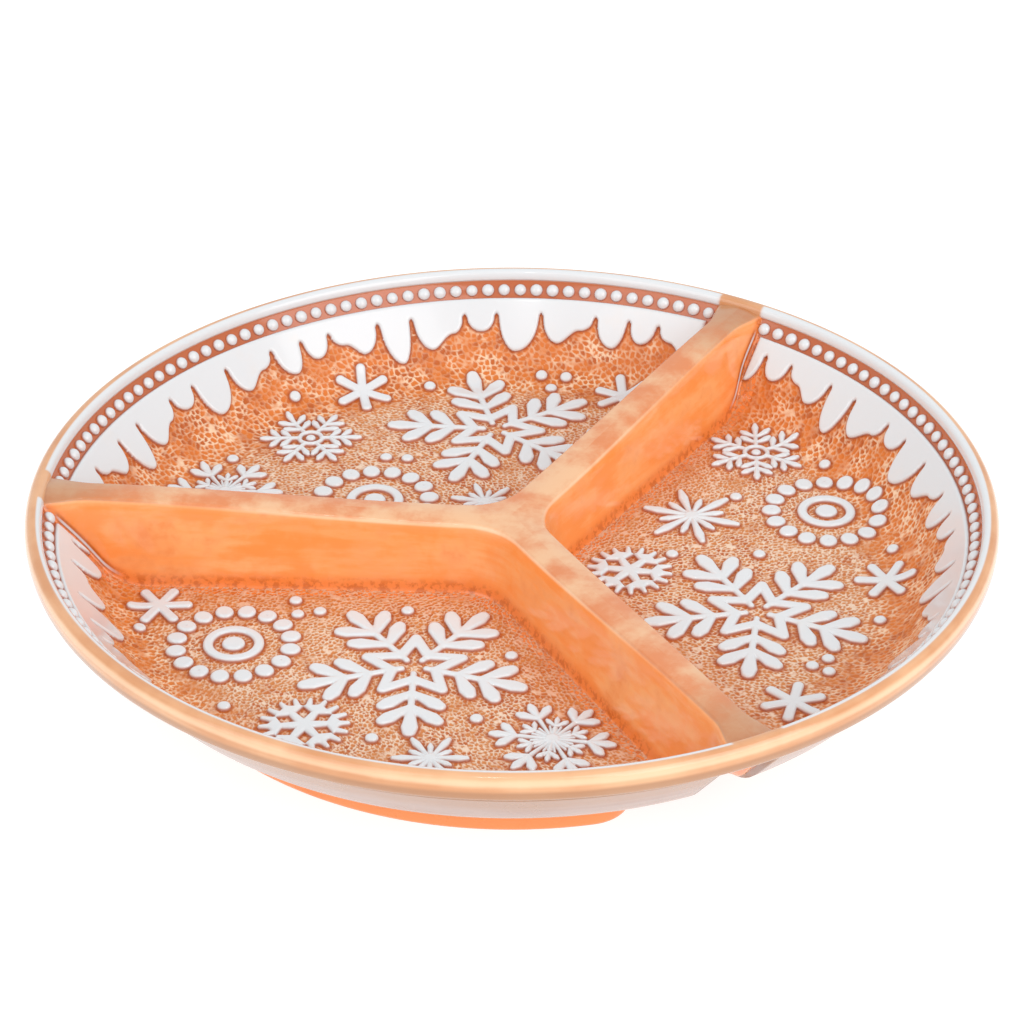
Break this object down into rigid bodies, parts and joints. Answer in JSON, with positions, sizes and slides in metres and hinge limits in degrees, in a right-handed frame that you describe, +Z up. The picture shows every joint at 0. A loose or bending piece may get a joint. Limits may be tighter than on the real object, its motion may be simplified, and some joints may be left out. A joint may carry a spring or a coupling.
{
  "type": "divided serving bowl",
  "caption": "Round shallow ceramic serving bowl parted into compartments by low dividers that meet in the middle, with raised winter ornament on a pebbled ground.",
  "frame": {"origin": "on the table plane, below the middle of the bowl where the dividers meet", "axes": "+Z up; +X along the middle of the right compartment; the left divider runs along -X"},
  "size_m": [0.305, 0.305, 0.0465],
  "materials": {
    "tan_glaze": "gloss",
    "orange_glaze": "gloss",
    "pebbled_glaze": "gloss",
    "white_glaze": "gloss"
  },
  "bodies": {
    "root": {"asterisks_front": "white_glaze", "asterisks_rear": "white_glaze", "asterisks_right": "white_glaze", "basin_front": "pebbled_glaze", "basin_rear": "pebbled_glaze", "basin_right": "pebbled_glaze", "beads_front": "white_glaze", "beads_rear": "white_glaze", "beads_right": "white_glaze", "burst_right": "white_glaze", "divider_front": "orange_glaze", "divider_hub": "orange_glaze", "divider_left": "orange_glaze", "divider_rear": "orange_glaze", "dots_front": "white_glaze", "dots_rear": "white_glaze", "dots_right": "white_glaze", "fern_flake_front": "white_glaze", "fern_flake_rear": "white_glaze", "foot_front": "orange_glaze", "foot_rear": "orange_glaze", "foot_right": "orange_glaze", "icing_front": "white_glaze", "icing_rear": "white_glaze", "icing_right": "white_glaze", "large_snowflake_front": "white_glaze", "large_snowflake_rear": "white_glaze", "large_snowflake_right": "white_glaze", "lattice_flake_front": "white_glaze", "lattice_flake_right": "white_glaze", "rim": "tan_glaze", "ring_flake_rear": "white_glaze", "ring_flake_right": "white_glaze", "rosette_front": "white_glaze", "rosette_rear": "white_glaze", "rosette_right": "white_glaze", "small_burst_front": "white_glaze", "small_burst_rear": "white_glaze"}
  },
  "joints": []
}
